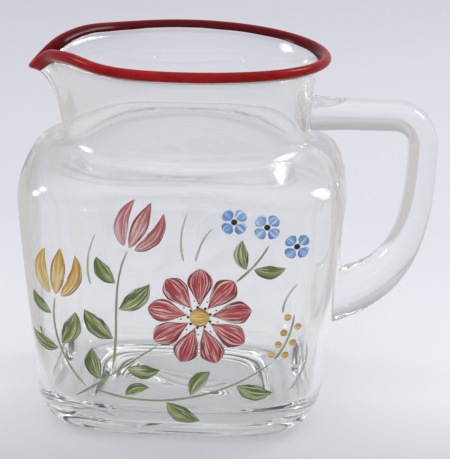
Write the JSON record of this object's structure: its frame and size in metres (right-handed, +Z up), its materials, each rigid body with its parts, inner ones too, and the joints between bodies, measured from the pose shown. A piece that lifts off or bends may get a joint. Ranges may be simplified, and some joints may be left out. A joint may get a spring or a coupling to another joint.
{
  "type": "glass pitcher",
  "caption": "Clear glass serving pitcher with a square body, round neck, pinched pour lip, solid glass handle and fired floral enamel.",
  "frame": {"origin": "centre of the resting plane, under the axis of the neck", "axes": "+Z up, +X from the neck's axis to the handle, -X to the pour lip, -Y the painted face"},
  "size_m": [0.1876, 0.1474, 0.168],
  "materials": {
    "clear_glass": "fire-polished",
    "red_enamel": "fired gloss",
    "pink_enamel": "fired gloss",
    "yellow_enamel": "fired gloss",
    "blue_enamel": "fired gloss",
    "green_enamel": "fired gloss",
    "pale_green_enamel": "fired gloss"
  },
  "bodies": {
    "root": {"glass_body": "clear_glass", "glass_handle": "clear_glass", "lip_enamel": "red_enamel", "daisy_petals": "red_enamel", "daisy_centre": "yellow_enamel", "pink_tulip": "pink_enamel", "yellow_tulip": "yellow_enamel", "blue_blossoms": "blue_enamel", "yellow_berries": "yellow_enamel", "leaves": "green_enamel", "stems": "green_enamel", "grass_blades": "pale_green_enamel"}
  },
  "joints": []
}
